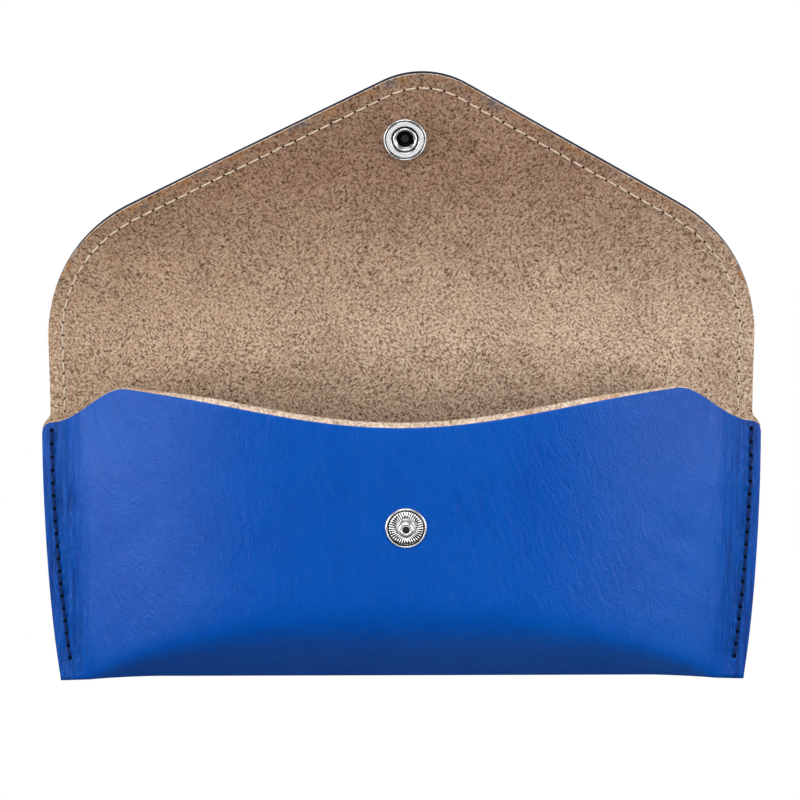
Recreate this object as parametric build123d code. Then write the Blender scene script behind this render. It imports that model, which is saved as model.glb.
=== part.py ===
from build123d import *
import os
from math import cos, hypot, pi, sin, sqrt

# Soft leather glasses case: a moulded pouch with a pointed envelope flap and one press stud.
# It lies open on its back. Millimetres, +X to the wearer's right along the seam-to-seam width,
# +Y towards the flap's point, +Z up through the thickness. The origin is on the surface that the
# case lies on, midway between the two seams and 38 mm above the bottom fold.

# ---- driving dimensions ------------------------------------------------------------------------
LEATHER = 1.5                   # thickness of the hide
SEAM_GAP = 0.15                 # between the two flanges sewn together
HALF_WIDTH = 88.0               # centre line to the seam edge, at the top of the seam
BOTTOM_TAPER = 2.8              # how much each side pulls in at the bottom fold
POUCH_BOTTOM = -38.0            # y of the bottom fold's outer edge
SEAM_TOP = 29.0                 # y of the top of the two side seams
MOUTH_MID = 33.4                # y of the mouth's edge on the centre line
MOUTH_PEAK = 40.0               # y of the mouth's edge near the sides
PLATEAU = 26.2                  # z of the front panel's outer face over the glasses
BOTTOM_WALL = 29.0              # run over which the front rises from the bottom fold
FLANGE_START = 0.93             # share of the half-width where the seam flange begins
SIDE_LIFT = 3.0                 # how far the bulge pulls the seams up off the surface
LIFT_START = 60.0               # |x| where the back panel starts to lift
LIFT_FADE = 12.0                # y where that lift starts to fade out towards the fold
FLAT_CUT = 0.12                 # cut off the flat of the back, so that it is an exact plane
FOLD_1 = 40.5                   # y of the fold between the pouch and the bridge
BRIDGE = 27.2                   # length of the bridge that crosses the open mouth
FOLD_GAP = 0.3                  # slit between two bodies at a fold
FLAP_RISE = 8.0                 # degrees that the open flap springs up past the second fold
FLAP_HALF = 86.0                # centre line to the flap's side edge
FLAP_TIP_X = 5.8                # the flap's point, before it is rounded
FLAP_TIP = 50.7                 # past the second fold
FLAP_LEFT_CORNER = 4.9          # past the second fold, before rounding
FLAP_RIGHT_CORNER = 3.9
SHOULDER_RADIUS = 38.0
TIP_RADIUS = 21.0
SNAP_X = 1.0                    # press stud and socket, on one axis when closed
STUD_Y = 8.6

STITCH_PITCH = 3.2
STITCH_LENGTH = 2.4
STITCH_WIDTH = 0.7
STITCH_HEIGHT = 0.35
STITCH_LIFT = 0.05              # keeps a laid stitch off the leather
SEAM_INSET = 3.0                # seam stitching, in from the edge
EDGE_INSET = 3.45               # flap stitching, in from the edge
GROOVE_WIDTH = 1.0              # pressed groove that the flap's outer stitching sits in
GROOVE_DEPTH = 0.4
BOTTOM_MARGIN = 6.5             # unstitched length above the bottom fold
TOP_MARGIN = 2.0

STUD_RADIUS = 5.0
STUD_RING = 0.55                # height of the stud's rim above the leather
KNOB_RADIUS = 1.83
KNOB_HEIGHT = 1.8               # above the leather
POST_RADIUS = 1.15
POST_BORE = 0.9
SOCKET_RADIUS = 5.15
SOCKET_HEIGHT = 1.8
SOCKET_FLOOR = 0.2
SOCKET_HOLE = 2.2
CAP_RADIUS = 6.25
CAP_DOME = 1.4
CAP_POST = 1.5
RUN = 0.05                      # clearance around each post

FOLD_2 = FOLD_1 + BRIDGE
FLAP_END = FOLD_2 + FLAP_TIP + 2.0
SNAP_ALONG = FOLD_1 - STUD_Y    # socket's distance past the second fold
FRONT_BASE = 2 * LEATHER + SEAM_GAP
NOSE_Y = POUCH_BOTTOM + 1.6     # where the bottom fold's turn meets the two panels
NOSE_REACH = 2.1                # length of the turn's two end tangents
NOSE_THINNING = 0.55            # the hide is skived along the bottom fold
SOFTNESS = 0.12                 # rounding where the side and bottom walls of the bulge meet
FLANGE_SOFTNESS = 0.06          # rounding where the bulge meets the flange
BULGE = (PLATEAU - FRONT_BASE) / (1.0 - SOFTNESS / 2.0)

SECTION_X = [0, 8, 16, 24, 32, 40, 47, 54, 60, 65, 69, 72, 75, 77.5, 80, 82, 84, 86, 88, 90]


# ---- the pouch's shape, as formulas ------------------------------------------------------------
def ease(t):
    t = min(1.0, max(0.0, t))
    return t * t * (3.0 - 2.0 * t)


def half_width(y):
    below = max(0.0, SEAM_TOP - y) / (SEAM_TOP - POUCH_BOTTOM)
    return HALF_WIDTH - BOTTOM_TAPER * below**3


def lift(x, y):
    """Height of the back panel's outer face above the surface."""
    side = ease((abs(x) - LIFT_START) / (HALF_WIDTH - LIFT_START))
    return SIDE_LIFT * side * (1.0 - ease((y - LIFT_FADE) / (FOLD_1 - LIFT_FADE)))


def dip(x):
    """How far the lofted back reaches below the plane that it is cut at."""
    return FLAT_CUT * (1.0 - ease((abs(x) - LIFT_START + 6.0) / 8.0))


def soft_min(a, b, k):
    return 0.5 * (a + b - sqrt((a - b) ** 2 + k * k))


def front_height(x, y):
    """Height of the front panel's outer face: a pillow with mitred bottom corners."""
    across = 1.0 - (abs(x) / (FLANGE_START * half_width(y))) ** 3
    along = sin(pi / 2.0 * min(1.0, max(0.0, y - POUCH_BOTTOM) / BOTTOM_WALL))
    share = -soft_min(-soft_min(across, along, SOFTNESS), 0.0, FLANGE_SOFTNESS)
    return lift(x, y) + FRONT_BASE + BULGE * share


def mouth_y(x):
    """The front panel's free edge, seen in plan."""
    dip_half = 64.0
    fall_start, fall_end = 66.0, 85.5
    rise = (1.0 - cos(pi * min(1.0, abs(x) / dip_half))) / 2.0
    level = MOUTH_MID + (MOUTH_PEAK - MOUTH_MID) * rise
    return level - (level - SEAM_TOP) * ease((abs(x) - fall_start) / (fall_end - fall_start))


def slope(height, x, y):
    step = 0.05
    along_x = (height(x + step, y) - height(x - step, y)) / (2 * step)
    along_y = (height(x, y + step) - height(x, y - step)) / (2 * step)
    return along_x, along_y


def inward(x, y, height, side):
    """The point of the section at x that lies one leather thickness inside the outer face."""
    along_x, along_y = slope(height, x, y)
    size = sqrt(1.0 + along_x**2 + along_y**2)
    n_y, n_z = -along_y / size, 1.0 / size
    reach = side * LEATHER / (n_y**2 + n_z**2)
    return y + reach * n_y, height(x, y) + reach * n_z


def nose_points(x, count=9):
    """Outer and inner points of the turn at the bottom fold, from the back to the front."""
    along_y = slope(front_height, x, NOSE_Y)[1]
    size = hypot(1.0, along_y)
    start, end = (NOSE_Y, lift(x, NOSE_Y)), (NOSE_Y, front_height(x, NOSE_Y))
    leave = (start[0] - NOSE_REACH, start[1])
    arrive = (end[0] - NOSE_REACH / size, end[1] - NOSE_REACH * along_y / size)
    outer, inner = [], []
    for i in range(1, count):
        t = i / count
        w = [(1 - t) ** 3, 3 * t * (1 - t) ** 2, 3 * t * t * (1 - t), t**3]
        d = [-(1 - t) ** 2, (1 - t) * (1 - 3 * t), t * (2 - 3 * t), t * t]
        corners = [start, leave, arrive, end]
        y, z = (sum(w[k] * corners[k][a] for k in range(4)) for a in (0, 1))
        d_y, d_z = (sum(d[k] * corners[k][a] for k in range(4)) for a in (0, 1))
        reach = (LEATHER - NOSE_THINNING * sin(pi * t)) / hypot(d_y, d_z)
        outer.append((y, z - dip(x) * (1 - t)))
        inner.append((y + reach * d_z, z - reach * d_y))
    return outer, inner


def back_points(x, count=16):
    ys = [FOLD_1 + 1.0 + (NOSE_Y - FOLD_1 - 1.0) * i / count for i in range(count + 1)]
    return [(y, lift(x, y) - dip(x)) for y in ys], [inward(x, y, lift, 1.0) for y in ys]


def front_points(x, count=30):
    ys = [NOSE_Y + (MOUTH_PEAK + 2.0 - NOSE_Y) * (i / count) ** 1.2 for i in range(count + 1)]
    return [(y, front_height(x, y)) for y in ys], [inward(x, y, front_height, -1.0) for y in ys]


def skin(profile):
    """A leather solid lofted through the closed sections that profile(x) gives."""
    wires = []
    for x in [-x for x in reversed(SECTION_X[1:])] + SECTION_X:
        outer, inner = profile(x)
        outer = [Vector(x, y, z) for y, z in outer]
        inner = [Vector(x, y, z) for y, z in reversed(inner)]
        edges = [
            Edge.make_spline(outer),
            Edge.make_line(outer[-1], inner[0]),
            Edge.make_spline(inner),
            Edge.make_line(inner[-1], outer[0]),
        ]
        wires.append(Wire(edges))
    return Solid.make_loft(wires)


def back_profile(x):
    flat, turn = back_points(x), nose_points(x)
    end = front_points(x)
    return flat[0] + turn[0] + end[0][:1], flat[1] + turn[1] + end[1][:1]


# ---- outlines in plan --------------------------------------------------------------------------
def side_edge(sign, count=6):
    """One seam edge, from the bottom fold to the top of the seam."""
    span = SEAM_TOP - TOP_MARGIN - POUCH_BOTTOM
    ys = [POUCH_BOTTOM + span * i / count for i in range(count + 1)]
    return Spline(*[(sign * half_width(y), y) for y in ys])


def front_outline():
    inset = 2.5                 # rounded corner at the top of the seam
    top = SEAM_TOP - TOP_MARGIN
    xs = [-(HALF_WIDTH - inset) + 2 * (HALF_WIDTH - inset) * i / 60 for i in range(61)]
    left, right = side_edge(-1), side_edge(1)
    lip = Spline(*[(x, mouth_y(x)) for x in xs])
    corner_left = Line((-half_width(top), top), (xs[0], mouth_y(xs[0])))
    corner_right = Line((xs[-1], mouth_y(xs[-1])), (half_width(top), top))
    below = POUCH_BOTTOM - 2.0
    start_left, start_right = left @ 0, right @ 0
    floor = Polyline(start_left, (start_left.X, below), (start_right.X, below), start_right)
    return make_face([left, corner_left, lip, corner_right, right, floor])


def back_outline():
    top = SEAM_TOP - TOP_MARGIN
    left, right = side_edge(-1), side_edge(1)
    below = POUCH_BOTTOM - 2.0
    end = FOLD_1 - FOLD_GAP / 2
    start_left, start_right = left @ 0, right @ 0
    floor = Polyline(start_left, (start_left.X, below), (start_right.X, below), start_right)
    head = Polyline(
        (-half_width(top), top), (-FLAP_HALF, SEAM_TOP + 1.5), (-FLAP_HALF, end),
        (FLAP_HALF, end), (FLAP_HALF, SEAM_TOP + 1.5), (half_width(top), top),
    )
    return make_face([left, head, right, floor])


def flap_run(inset=0.0):
    """The flap's edge laid flat and moved in by an inset, from the left seam to the right one."""
    side = FLAP_HALF - inset
    start = SEAM_TOP + 1.0
    left_slope = (FLAP_TIP - FLAP_LEFT_CORNER) / (FLAP_HALF + FLAP_TIP_X)
    right_slope = (FLAP_TIP - FLAP_RIGHT_CORNER) / (FLAP_HALF - FLAP_TIP_X)
    left_drop = inset * hypot(1.0, left_slope)
    right_drop = inset * hypot(1.0, right_slope)
    left_y = FOLD_2 + FLAP_LEFT_CORNER + left_slope * inset - left_drop
    right_y = FOLD_2 + FLAP_RIGHT_CORNER + right_slope * inset - right_drop
    tip_x = (right_y - left_y + (right_slope - left_slope) * side) / (left_slope + right_slope)
    tip_y = left_y + left_slope * (tip_x + side)
    corners = [(-side, start), (-side, left_y), (tip_x, tip_y), (side, right_y), (side, start)]
    radii = [SHOULDER_RADIUS - inset, TIP_RADIUS - inset, SHOULDER_RADIUS - inset]
    return FilletPolyline(*corners, radius=radii)


def flap_plan(inset=0.0):
    run = flap_run(inset)
    return make_face([run, Line(run @ 1, run @ 0)])


def between(outline, low, high):
    """The part of a plan outline between two values of y."""
    band = Rectangle(4 * HALF_WIDTH, high - low, align=(Align.CENTER, Align.MIN))
    return outline & Pos(0, low) * band


# ---- leather pieces ----------------------------------------------------------------------------
def back_panel():
    """Back of the pouch with the turned bottom fold."""
    return skin(back_profile) & extrude(back_outline(), PLATEAU)


def front_panel():
    """Moulded front of the pouch, with the hole for the stud's post."""
    prism = Pos(0, 0, -1) * extrude(front_outline(), PLATEAU + 2.0)
    hole = Pos(SNAP_X, STUD_Y, PLATEAU) * Cylinder(POST_RADIUS + RUN, 4 * LEATHER)
    return (skin(front_points) & prism) - hole


def plate(low, high):
    """A flat stretch of the flap between two folds, grooved outside for its stitching."""
    body = extrude(between(flap_plan(), low, high), LEATHER)
    middle = EDGE_INSET
    ring = flap_plan(middle - GROOVE_WIDTH / 2) - flap_plan(middle + GROOVE_WIDTH / 2)
    ring = between(ring, low - 1.0, high + 1.0)
    return body - extrude(ring, GROOVE_DEPTH)


def flap_bridge():
    """Strip that crosses the mouth when the case is shut."""
    return plate(FOLD_1 + FOLD_GAP / 2, FOLD_2 - FOLD_GAP / 2)


def flap_panel():
    """Pointed flap, with the hole for the cap's post."""
    flat = plate(FOLD_2 + FOLD_GAP / 2, FOLD_2 + FLAP_TIP)
    hole = Pos(SNAP_X, FOLD_2 + SNAP_ALONG, 0) * Cylinder(CAP_POST + RUN, 4 * LEATHER)
    return raised(flat - hole)


def raised(flat):
    """Turns a piece laid flat with the flap up to the angle that the open flap rests at."""
    hinge = Axis((0, FOLD_2, LEATHER), (1, 0, 0))
    return flat.rotate(hinge, FLAP_RISE)


# ---- stitching ---------------------------------------------------------------------------------
def stitch(place, height=STITCH_HEIGHT):
    return place * extrude(SlotOverall(STITCH_LENGTH, STITCH_WIDTH), height)


def seam_thread(sign, height, face):
    """Laid stitches down one seam; face is 1 on the front's outer face, -1 on the back's."""
    first, last = SEAM_TOP - TOP_MARGIN, POUCH_BOTTOM + BOTTOM_MARGIN
    count = int((first - last) / STITCH_PITCH)
    solids = []
    for i in range(count):
        y = first - STITCH_PITCH * (i + 0.5)
        x = sign * (half_width(y) - SEAM_INSET)
        along_x, along_y = slope(height, x, y)
        drift = sign * (half_width(y + 1) - half_width(y - 1)) / 2
        normal = Vector(-along_x, -along_y, 1).normalized() * face
        tangent = Vector(drift, 1, along_x * drift + along_y)
        point = Vector(x, y, height(x, y)) + normal * STITCH_LIFT
        solids.append(stitch(Plane(point, x_dir=tangent, z_dir=normal)))
    return Compound(children=solids)


def edge_thread(low, high, base, margin=1.35):
    """Stitches that follow the flap's edge between two values of y, laid flat at z = base."""
    run = flap_run(EDGE_INSET)
    count = round(run.length / STITCH_PITCH)
    solids = []
    for i in range(count):
        share = (i + 0.5) / count
        point, tangent = run @ share, run % share
        if low + margin < point.Y < high - margin:
            place = Plane(Vector(point.X, point.Y, base), x_dir=tangent, z_dir=(0, 0, 1))
            solids.append(stitch(place))
    return Compound(children=solids)


INNER_FACE = LEATHER + STITCH_LIFT
OUTER_FACE = (GROOVE_DEPTH - STITCH_HEIGHT) / 2


def root_thread():
    """The flap's inner stitches where they run down onto the back panel."""
    run = flap_run(EDGE_INSET)
    count = round(run.length / STITCH_PITCH)
    solids = []
    for i in range(count):
        point = run @ ((i + 0.5) / count)
        if SEAM_TOP + 2.4 < point.Y < FOLD_1 - 1.35:
            x, y = point.X, point.Y
            along_x, along_y = slope(lift, x, y)
            normal = Vector(-along_x, -along_y, 1).normalized()
            face = Vector(x, y, lift(x, y)) + normal * (LEATHER + STITCH_LIFT)
            solids.append(stitch(Plane(face, x_dir=Vector(0, 1, along_y), z_dir=normal)))
    return Compound(children=solids)


# ---- press stud --------------------------------------------------------------------------------
def turned(points):
    """A solid of revolution about Z from its half section, given as (radius, height) points."""
    return revolve(make_face(Plane.XZ * Polyline(*points, close=True)), Axis.Z)


def on_front(piece):
    seat_gap = 0.03
    return Pos(SNAP_X, STUD_Y, front_height(SNAP_X, STUD_Y) + seat_gap) * piece


def on_flap(piece, level):
    return raised(Pos(SNAP_X, FOLD_2 + SNAP_ALONG, level) * piece)


def snap_stud():
    """Stud on the front panel: rim, dish and knob, bored for its post."""
    bore = POST_RADIUS + RUN
    rim, dish, neck = 0.9, 0.3, KNOB_RADIUS - 0.25
    return on_front(turned([
        (bore, 0), (STUD_RADIUS - 0.3, 0), (STUD_RADIUS, 0.2), (STUD_RADIUS - 0.2, STUD_RING),
        (STUD_RADIUS - rim, STUD_RING), (STUD_RADIUS - rim - 0.1, dish), (neck, dish),
        (neck, KNOB_HEIGHT - 0.9), (KNOB_RADIUS, KNOB_HEIGHT - 0.6),
        (KNOB_RADIUS - 0.1, KNOB_HEIGHT - 0.15), (KNOB_RADIUS - 0.35, KNOB_HEIGHT),
        (bore, KNOB_HEIGHT),
    ]))


def snap_stud_post():
    """Tubular post from inside the pouch, through the leather and the stud."""
    head_radius, head_height, recess = 4.0, 0.5, 0.1
    under = -LEATHER - 0.1
    return on_front(turned([
        (POST_BORE, under - head_height), (head_radius, under - head_height),
        (head_radius, under), (POST_RADIUS, under), (POST_RADIUS, KNOB_HEIGHT - recess),
        (POST_BORE, KNOB_HEIGHT - recess),
    ]))


def snap_cap():
    """Domed cap outside the flap; its hollow post is rolled over inside the socket."""
    edge, shell, roll_width, roll_height = 0.45, 0.4, 0.45, 0.3
    top = LEATHER + SOCKET_FLOOR
    bore = CAP_POST - 0.6
    return on_flap(turned([
        (0, -CAP_DOME), (CAP_RADIUS * 0.45, -0.9 * CAP_DOME), (CAP_RADIUS * 0.85, -0.6 * CAP_DOME),
        (CAP_RADIUS, -edge), (CAP_RADIUS, 0), (CAP_POST, 0), (CAP_POST, top),
        (CAP_POST + roll_width, top), (CAP_POST + roll_width, top + roll_height),
        (bore, top + roll_height), (bore, -CAP_DOME + shell), (0, -CAP_DOME + shell),
    ]), 0.0)


def snap_socket():
    """Socket on the flap's inner face: a shallow drum, open in the middle for the knob."""
    cavity, lip, face = 3.3, 1.2, SOCKET_HEIGHT - 0.1
    bore = CAP_POST + RUN
    return on_flap(turned([
        (bore, 0), (SOCKET_RADIUS - 0.2, 0), (SOCKET_RADIUS, 0.3),
        (SOCKET_RADIUS, SOCKET_HEIGHT - 0.3), (SOCKET_RADIUS - 0.25, SOCKET_HEIGHT),
        (SOCKET_RADIUS - 0.5, face), (3.0, face), (2.85, face - 0.2), (2.6, SOCKET_HEIGHT),
        (2.35, SOCKET_HEIGHT), (SOCKET_HOLE, face - 0.2), (SOCKET_HOLE, lip), (cavity, lip),
        (cavity, SOCKET_FLOOR), (bore, SOCKET_FLOOR),
    ]), LEATHER)


def snap_spring():
    """Split ring in the socket that grips behind the knob."""
    wire, ring, height, opening = 0.2, 2.2, 0.95, 36.0
    section = Plane.XZ * Pos(ring, height) * Circle(wire)
    return on_flap(revolve(section, Axis.Z, revolution_arc=360.0 - opening), LEATHER)


# ---- write the parts ---------------------------------------------------------------------------
PARTS = {
    "back_panel": back_panel,
    "front_panel": front_panel,
    "left_seam_needle_thread": lambda: seam_thread(-1, front_height, 1),
    "right_seam_needle_thread": lambda: seam_thread(1, front_height, 1),
    "left_seam_bobbin_thread": lambda: seam_thread(-1, lift, -1),
    "right_seam_bobbin_thread": lambda: seam_thread(1, lift, -1),
    "edge_bobbin_thread_root": root_thread,
    "snap_stud": snap_stud,
    "snap_stud_post": snap_stud_post,
    "flap_bridge": flap_bridge,
    "edge_bobbin_thread_bridge": lambda: edge_thread(FOLD_1, FOLD_2, INNER_FACE),
    "edge_needle_thread_bridge": lambda: edge_thread(FOLD_1, FOLD_2, OUTER_FACE),
    "flap_panel": flap_panel,
    "edge_bobbin_thread_flap": lambda: raised(edge_thread(FOLD_2, FLAP_END, INNER_FACE)),
    "edge_needle_thread_flap": lambda: raised(edge_thread(FOLD_2, FLAP_END, OUTER_FACE)),
    "snap_cap": snap_cap,
    "snap_socket": snap_socket,
    "snap_spring": snap_spring,
}

os.makedirs("parts", exist_ok=True)
for name, make in PARTS.items():
    export_step(make(), f"parts/{name}.step")
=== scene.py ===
from math import cos, hypot, pi, radians, sin, sqrt

import bmesh
import bpy
from mathutils import Matrix, Vector, noise


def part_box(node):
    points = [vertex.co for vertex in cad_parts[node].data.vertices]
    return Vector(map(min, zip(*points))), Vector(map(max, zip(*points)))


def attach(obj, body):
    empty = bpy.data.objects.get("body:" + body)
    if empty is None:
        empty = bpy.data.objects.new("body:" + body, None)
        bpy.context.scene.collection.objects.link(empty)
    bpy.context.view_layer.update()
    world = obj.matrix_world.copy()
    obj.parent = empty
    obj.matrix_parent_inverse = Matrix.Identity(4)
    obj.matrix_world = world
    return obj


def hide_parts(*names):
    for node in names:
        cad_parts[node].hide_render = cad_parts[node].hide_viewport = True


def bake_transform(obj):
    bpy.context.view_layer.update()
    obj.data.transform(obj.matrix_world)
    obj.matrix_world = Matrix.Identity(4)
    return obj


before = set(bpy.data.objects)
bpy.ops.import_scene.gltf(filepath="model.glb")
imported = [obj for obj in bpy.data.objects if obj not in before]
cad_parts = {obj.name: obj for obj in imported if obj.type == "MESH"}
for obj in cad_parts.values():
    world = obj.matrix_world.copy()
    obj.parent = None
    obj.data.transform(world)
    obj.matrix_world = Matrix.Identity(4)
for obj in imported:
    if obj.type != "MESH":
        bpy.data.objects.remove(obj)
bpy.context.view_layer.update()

# A soft leather glasses case, lying open on its back. Shapes are worked out in millimetres and
# scaled to metres when a mesh is made.
MM = 0.001

# ---- sizes of the case, from its design --------------------------------------------------------
LEATHER = 1.5                   # thickness of the hide
SEAM_GAP = 0.15                 # between the two layers at a side seam
HALF_WIDTH = 88.0               # near the top of the side seams
BOTTOM_TAPER = 2.8              # how much of that is lost at the bottom fold
POUCH_BOTTOM = -38.0
SEAM_TOP = 29.0
MOUTH_MID = 33.4                # the mouth's edge at its lowest, in the middle
MOUTH_PEAK = 40.0               # and at its highest, on either side
PLATEAU = 26.2                  # height of the front's bulge
BOTTOM_WALL = 29.0              # how far from the bottom fold the bulge is that high
FLANGE_START = 0.93             # share of the half-width where the flat seam margin begins
SIDE_LIFT = 3.0                 # how far the side seams are pulled off the table
LIFT_START = 60.0               # distance from the middle where that lift begins
LIFT_FADE = 12.0                # it is full up to here, and gone at the first fold
FOLD_1 = 40.5                   # fold at the back edge of the mouth
FOLD_2 = 67.7                   # fold above the front, on the flap laid flat
FLAP_RISE = radians(8.0)        # how far the open flap has sprung up
FLAP_HALF = 86.0
FLAP_TIP_X = 5.8                # where the flap's slanting edges would meet
FLAP_TIP = 50.7                 # how far past the second fold that is
FLAP_LEFT_CORNER = 4.9          # where they would meet the sides, past the second fold
FLAP_RIGHT_CORNER = 3.9
SHOULDER_RADIUS = 38.0
TIP_RADIUS = 21.0
STITCH_PITCH = 3.2
SEAM_INSET = 3.0                # from the side seams' edge to the stitching
EDGE_INSET = 3.45               # from the flap's edge to the stitching
BOTTOM_MARGIN = 6.5             # from the bottom fold to the side seams' last stitch
TOP_MARGIN = 2.0                # from the side seams' top to their first stitch

FRONT_BASE = 2 * LEATHER + SEAM_GAP     # height of the front's outer face at the seams
NOSE_Y = POUCH_BOTTOM + 1.6     # where the turn at the bottom fold leaves the back and front
NOSE_REACH = 2.1                # length of the turn's curve handles
NOSE_THINNING = 0.55            # how much thinner the leather is in the middle of the turn
SOFTNESS = 0.12                 # rounding where the bulge's walls meet its top
FLANGE_SOFTNESS = 0.06          # rounding where they meet the seam margin
BULGE = (PLATEAU - FRONT_BASE) / (1.0 - SOFTNESS / 2.0)

BACK_JOIN = -30.0               # where the front's sheet ends under the case
BRIDGE_JOIN = 54.1              # half-way across the bridge, where two leather sheets meet
STUD_X, SOCKET_Y = 1.0, 99.6    # the press stud across the case, and the socket up the flat leather
MOUTH_SLANT = 0.9               # how far the mouth's cut edge leans out
FLAP_LIP = 0.34                 # how far the flap's grain side stands out past its cut
THREAD_SINK = 0.34              # how deep stitches are pressed in where the leather lies flat
SEAM_THREAD, SEAM_THREAD_BACK, EDGE_THREAD = 0.72, 0.62, 0.46
SEAM_HOLE, SEAM_HOLE_BACK, EDGE_HOLE = 0.58, 0.42, 0.27
STEP = 0.05                     # distance for measuring a slope


def ease(t):
    t = min(1.0, max(0.0, t))
    return t * t * (3.0 - 2.0 * t)


def bell(t):
    """1 at 0, falling smoothly to 0 at -1 and 1."""
    return ease(1.0 - abs(t))


# ---- the leather's shape, as formulas ----------------------------------------------------------
def normal_of(place, x, y):
    a = place(x + STEP, y) - place(x - STEP, y)
    b = place(x, y + STEP) - place(x, y - STEP)
    return a.cross(b).normalized()


def half_width(y):
    below = max(0.0, SEAM_TOP - y) / (SEAM_TOP - POUCH_BOTTOM)
    pouch = HALF_WIDTH - BOTTOM_TAPER * below**3
    return pouch - (HALF_WIDTH - FLAP_HALF) * ease((y - SEAM_TOP + TOP_MARGIN) / 3.5)


def lift(x, y):
    side = ease((abs(x) - LIFT_START) / (HALF_WIDTH - LIFT_START))
    return SIDE_LIFT * side * (1.0 - ease((y - LIFT_FADE) / (FOLD_1 - LIFT_FADE)))


def soft_min(a, b, k):
    return 0.5 * (a + b - sqrt((a - b) ** 2 + k * k))


def wrinkles(x, y):
    """Small waves pressed into the leather by the seams and by use."""
    side = abs(x) / half_width(min(y, SEAM_TOP))
    spot = Vector((x * 0.55, y * 0.06, 3.0 if x > 0 else 9.0))
    beside = bell((side - 0.9) / 0.075) * noise.noise(spot * 1.3) * 0.42
    across = noise.noise(Vector((x * 0.10 + y * 0.16, (x - y) * 0.02, 17.0)))
    crease = 0.22 * bell((x - 66.0) / 22.0) * bell((y + 6.0) / 30.0) * across
    across = noise.noise(Vector((x * 0.11 - y * 0.12, (x + y) * 0.02, 27.0)))
    crease += 0.16 * bell((x + 66.0) / 22.0) * bell((y - 2.0) / 30.0) * across
    slow = 0.35 * noise.noise(Vector((x * 0.028, y * 0.04, 5.0)))
    return beside + crease + slow * bell(x / 84.0)


def front_height(x, y):
    across = 1.0 - (abs(x) / (FLANGE_START * half_width(min(y, SEAM_TOP - TOP_MARGIN)))) ** 3
    along = sin(pi / 2.0 * min(1.0, max(0.0, y - POUCH_BOTTOM) / BOTTOM_WALL))
    share = -soft_min(-soft_min(across, along, SOFTNESS), 0.0, FLANGE_SOFTNESS)
    return lift(x, y) + FRONT_BASE + BULGE * share


def front_face(x, y):
    fade = ease((y - POUCH_BOTTOM - 2.0) / 8.0)
    return front_height(x, y) + fade * wrinkles(x, y)


def mouth_y(x):
    """Edge of the pouch's mouth: dipped in the middle, falling to rounded corners at the seams."""
    x = abs(x)
    dip_half, fall_start, corner = 64.0, 66.0, 85.5
    if x > corner:
        r = HALF_WIDTH - corner
        return SEAM_TOP - r + sqrt(max(0.0, r * r - (x - corner) ** 2))
    rise = (1.0 - cos(pi * min(1.0, x / dip_half))) / 2.0
    level = MOUTH_MID + (MOUTH_PEAK - MOUTH_MID) * rise
    return level - (level - SEAM_TOP) * ease((x - fall_start) / (corner - fall_start))


class FlapEdge:
    """The flap's edge laid flat, moved in by an inset: two sides, two shoulders and a tip."""

    def __init__(self, inset=0.0):
        self.side = FLAP_HALF - inset
        self.r, self.rt = SHOULDER_RADIUS - inset, TIP_RADIUS - inset
        self.ml = (FLAP_TIP - FLAP_LEFT_CORNER) / (FLAP_HALF + FLAP_TIP_X)
        self.mr = (FLAP_TIP - FLAP_RIGHT_CORNER) / (FLAP_HALF - FLAP_TIP_X)
        sl, sr = hypot(1.0, self.ml), hypot(1.0, self.mr)
        # heights of the two slanting edges at x = 0
        self.hl = FOLD_2 + FLAP_LEFT_CORNER + self.ml * FLAP_HALF - inset * sl
        self.hr = FOLD_2 + FLAP_RIGHT_CORNER + self.mr * FLAP_HALF - inset * sr
        self.left = (-self.side + self.r, self.hl - self.ml * (self.side - self.r) - self.r * sl)
        self.right = (self.side - self.r, self.hr - self.mr * (self.side - self.r) - self.r * sr)
        tx = (self.hr - self.hl - self.rt * (sr - sl)) / (self.ml + self.mr)
        self.tip = (tx, self.hl + self.ml * tx - self.rt * sl)
        self.breaks = (
            self.left[0] - self.r * self.ml / sl, tx - self.rt * self.ml / sl,
            tx + self.rt * self.mr / sr, self.right[0] + self.r * self.mr / sr,
        )

    def top(self, x):
        """y of the edge above the shoulders' centres."""
        a, b, c, d = self.breaks
        if b < x < c:
            return self.tip[1] + sqrt(max(0.0, self.rt**2 - (x - self.tip[0]) ** 2))
        if x < a:
            return self.left[1] + sqrt(max(0.0, self.r**2 - (x - self.left[0]) ** 2))
        if x > d:
            return self.right[1] + sqrt(max(0.0, self.r**2 - (x - self.right[0]) ** 2))
        return self.hl + self.ml * x if x <= b else self.hr - self.mr * x

    def half_at(self, y, sign):
        """|x| of the edge at a height y below the tip."""
        cx, cy = self.left if sign < 0 else self.right
        if y <= cy:
            return self.side
        return abs(cx) + sqrt(max(0.0, self.r**2 - (y - cy) ** 2))

    def path(self, start, step=0.5):
        """Close points from the left side, at y = start, round to the right side."""
        points = []
        count = int((self.left[1] - start) / step) + 1
        for i in range(count):
            points.append((-self.side, start + (self.left[1] - start) * i / count))
        for share in spread(0.0, 1.0, 600):
            x = -self.side * cos(pi * share)
            points.append((x, self.top(x)))
        count = int((self.right[1] - start) / step) + 1
        for i in range(1, count + 1):
            points.append((self.side, self.right[1] + (start - self.right[1]) * i / count))
        return points


EDGE = FlapEdge()


def rise(y):
    """Height that the open flap has sprung up to, and how far that draws it back."""
    past = y - FOLD_2
    soft = 0.5 * (past + sqrt(past * past + 25.0))
    fade = ease((y - FOLD_1) / 14.0)
    return soft * sin(FLAP_RISE) * fade, soft * (1.0 - cos(FLAP_RISE)) * fade


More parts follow.
